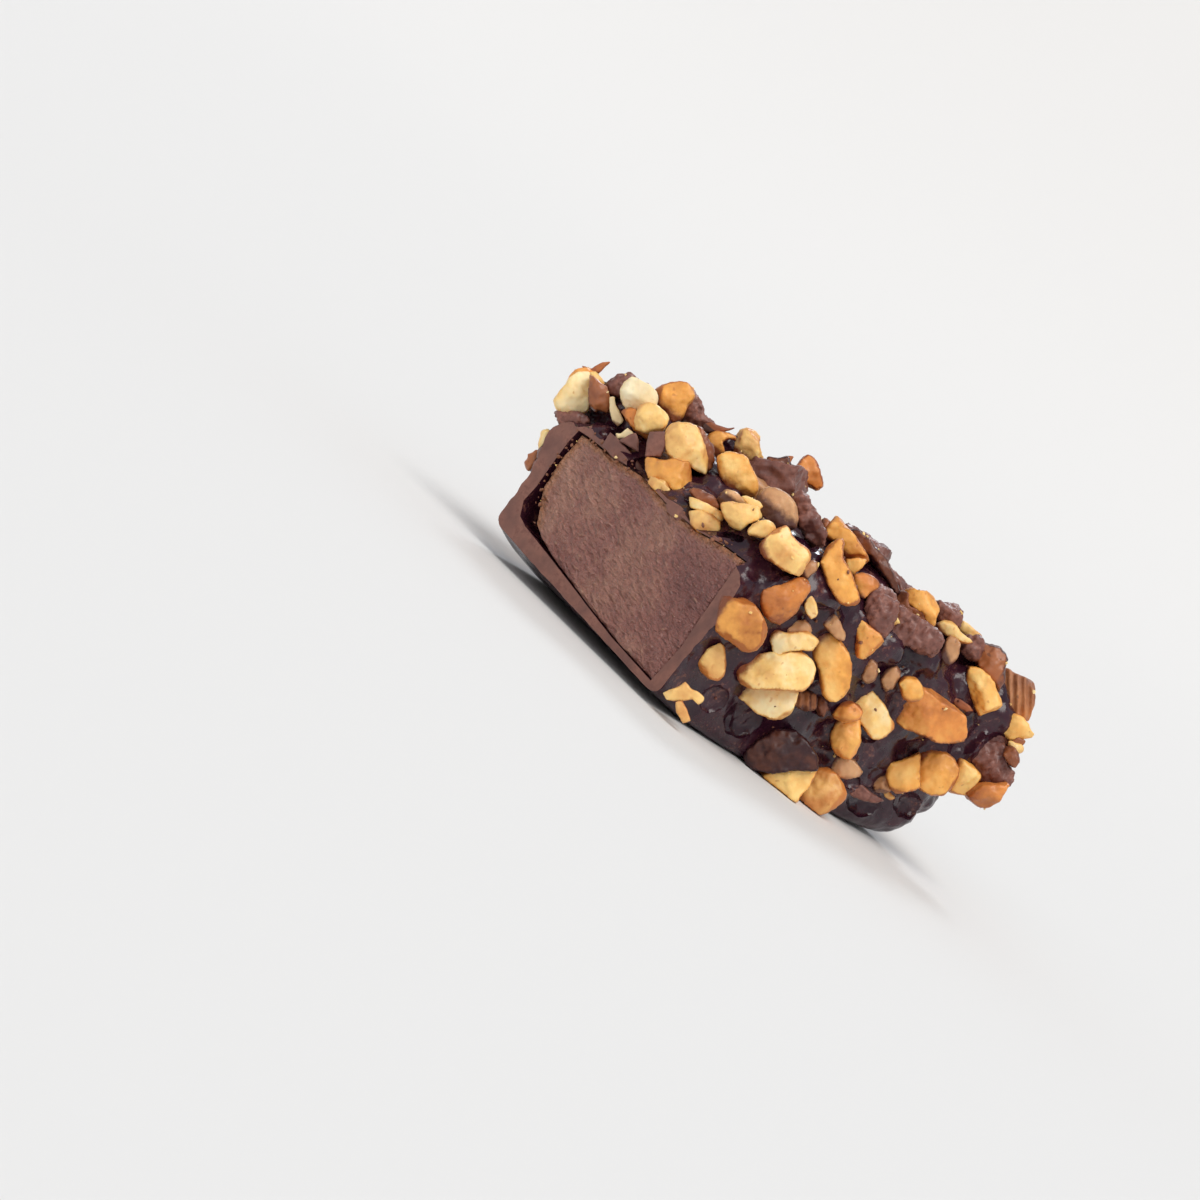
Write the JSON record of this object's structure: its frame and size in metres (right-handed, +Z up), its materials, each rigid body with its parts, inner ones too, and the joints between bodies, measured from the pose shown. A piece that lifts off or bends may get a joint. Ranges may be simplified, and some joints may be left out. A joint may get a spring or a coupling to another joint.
{
  "type": "caramel almond stick, cut half",
  "caption": "Cut half of a chocolate-coated caramel stick covered in chopped almonds, with the flat cut face showing the caramel filling.",
  "frame": {"origin": "middle of the flat underside that the stick rests on, 17 mm behind the cut face", "axes": "+Z up, -Y out of the cut face, +Y towards the closed far end, X across the width"},
  "size_m": [0.0326, 0.0388, 0.0204],
  "materials": {
    "almond_chocolate": "dark chocolate coat with chopped roasted almonds",
    "caramel": "soft cut caramel"
  },
  "bodies": {
    "root": {"coating": "almond_chocolate", "caramel": "caramel"}
  },
  "joints": []
}
